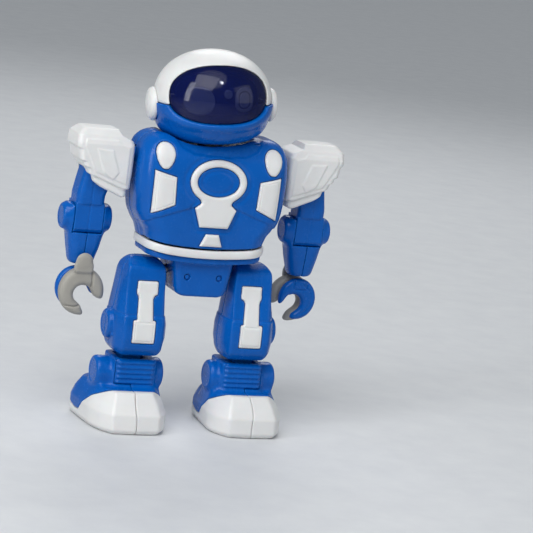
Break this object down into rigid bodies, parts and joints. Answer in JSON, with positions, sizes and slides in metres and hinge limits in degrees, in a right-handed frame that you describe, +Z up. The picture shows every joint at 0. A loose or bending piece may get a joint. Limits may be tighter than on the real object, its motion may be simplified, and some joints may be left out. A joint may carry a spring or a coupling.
{
  "type": "walking humanoid robot toy",
  "caption": "Standing toy robot with a round helmet, dark visor, shoulder plates, hooked claws, jointed arms, plated legs and big boots.",
  "frame": {"origin": "on the floor under the middle of the robot's box", "axes": "+Z up, the robot faces -Y, its left side is +X"},
  "size_m": [0.1772, 0.0724, 0.2363],
  "materials": {
    "blue_plastic": "moulded gloss",
    "white_plastic": "moulded satin",
    "grey_plastic": "soft matt",
    "visor_plastic": "polished, tinted clear",
    "reflector": "satin",
    "led_lens": "polished",
    "black_plastic": "fine texture",
    "circuit_board": "solder mask",
    "steel": "turned",
    "battery_jacket": "printed film, plain",
    "nylon": "satin"
  },
  "bodies": {
    "torso": {"chest_front": "blue_plastic", "chest_back": "blue_plastic", "chest_emblem": "white_plastic", "chest_badge": "white_plastic", "teardrop_left": "white_plastic", "teardrop_right": "white_plastic", "chest_panel_left": "white_plastic", "chest_panel_right": "white_plastic", "waist_belt": "white_plastic", "pelvis_front": "blue_plastic", "pelvis_back": "blue_plastic", "neck_stem": "nylon", "battery_tray": "black_plastic", "battery_1": "battery_jacket", "battery_2": "battery_jacket", "battery_3": "battery_jacket", "battery_door": "blue_plastic", "door_screw": "steel", "circuit_board": "circuit_board", "drive_motor": "steel", "hip_pin_left": "steel", "hip_pin_right": "steel"},
    "head": {"helmet_shell": "white_plastic", "chin_guard": "blue_plastic", "visor": "visor_plastic", "eye_panel": "reflector", "head_led": "led_lens", "ear_pod_left": "white_plastic", "ear_pod_right": "white_plastic"},
    "switch": {"power_switch": "black_plastic"},
    "pinion": {"motor_pinion": "nylon"},
    "gear": {"drive_gear": "nylon"},
    "arm_left": {"pauldron_left": "white_plastic", "upper_arm_left": "blue_plastic"},
    "forearm_left": {"forearm_outer_left": "blue_plastic", "forearm_inner_left": "blue_plastic"},
    "hand_left": {"claw_grey_left": "grey_plastic", "claw_blue_left": "blue_plastic"},
    "leg_left": {"leg_front_left": "blue_plastic", "leg_back_left": "blue_plastic", "leg_panel_left": "white_plastic", "ankle_tongue_left": "blue_plastic"},
    "foot_left": {"boot_upper_outer_left": "blue_plastic", "boot_upper_inner_left": "blue_plastic", "boot_sole_outer_left": "white_plastic", "boot_sole_inner_left": "white_plastic"},
    "arm_right": {"pauldron_right": "white_plastic", "upper_arm_right": "blue_plastic"},
    "forearm_right": {"forearm_outer_right": "blue_plastic", "forearm_inner_right": "blue_plastic"},
    "hand_right": {"claw_grey_right": "grey_plastic", "claw_blue_right": "blue_plastic"},
    "leg_right": {"leg_front_right": "blue_plastic", "leg_back_right": "blue_plastic", "leg_panel_right": "white_plastic", "ankle_tongue_right": "blue_plastic"},
    "foot_right": {"boot_upper_outer_right": "blue_plastic", "boot_upper_inner_right": "blue_plastic", "boot_sole_outer_right": "white_plastic", "boot_sole_inner_right": "white_plastic"}
  },
  "joints": [
    {"name": "head_turn", "type": "hinge", "parent": "torso", "child": "head", "pos_m": [0, 0.00181, 0.178], "axis": [-0.0863, 0.0121, 0.9962], "range_deg": [-40, 40]},
    {"name": "power_switch_slide", "type": "slide", "parent": "torso", "child": "switch", "axis": [0, 0, 1], "range_m": [0, 0.0036]},
    {"name": "drive_gear_spin", "type": "hinge", "parent": "torso", "child": "gear", "pos_m": [0, 0.00031, 0.10638], "axis": [1, 0, 0], "continuous": true},
    {"name": "motor_pinion_spin", "type": "hinge", "parent": "torso", "child": "pinion", "pos_m": [0, -0.00819, 0.118], "axis": [1, 0, 0], "continuous": true},
    {"name": "shoulder_left", "type": "hinge", "parent": "torso", "child": "arm_left", "pos_m": [0.05, 0.00381, 0.168], "axis": [-1, 0, 0], "range_deg": [-25, 170]},
    {"name": "elbow_left", "type": "hinge", "parent": "arm_left", "child": "forearm_left", "pos_m": [0.073, 0.00781, 0.126], "axis": [-1, 0, 0], "range_deg": [0, 65]},
    {"name": "wrist_left", "type": "hinge", "parent": "forearm_left", "child": "hand_left", "pos_m": [0.073, 0.00781, 0.1], "axis": [0, 1, 0], "range_deg": [-15, 15]},
    {"name": "shoulder_right", "type": "hinge", "parent": "torso", "child": "arm_right", "pos_m": [-0.05, 0.00381, 0.168], "axis": [-1, 0, 0], "range_deg": [-25, 170]},
    {"name": "elbow_right", "type": "hinge", "parent": "arm_right", "child": "forearm_right", "pos_m": [-0.073, 0.00781, 0.126], "axis": [-1, 0, 0], "range_deg": [0, 65]},
    {"name": "wrist_right", "type": "hinge", "parent": "forearm_right", "child": "hand_right", "pos_m": [-0.073, 0.00781, 0.1], "axis": [0, 1, 0], "range_deg": [-15, 15]},
    {"name": "hip_right", "type": "hinge", "parent": "torso", "child": "leg_right", "pos_m": [-0.037, 0.00081, 0.098], "axis": [1, 0, 0], "range_deg": [-8, 8]},
    {"name": "hip_left", "type": "hinge", "parent": "torso", "child": "leg_left", "pos_m": [0.037, 0.00081, 0.098], "axis": [1, 0, 0], "range_deg": [-8, 8]},
    {"name": "ankle_right", "type": "hinge", "parent": "leg_right", "child": "foot_right", "pos_m": [-0.0372, -0.00219, 0.032], "axis": [1, 0, 0], "range_deg": [-8, 8]},
    {"name": "ankle_left", "type": "hinge", "parent": "leg_left", "child": "foot_left", "pos_m": [0.0372, -0.00219, 0.032], "axis": [1, 0, 0], "range_deg": [-8, 8]}
  ],
  "couplings": [
    {"joint": "motor_pinion_spin", "follows": "drive_gear_spin", "ratio": -3},
    {"joint": "hip_left", "follows": "hip_right", "ratio": -1},
    {"joint": "ankle_right", "follows": "hip_right", "ratio": -1},
    {"joint": "ankle_left", "follows": "hip_right", "ratio": 1}
  ]
}
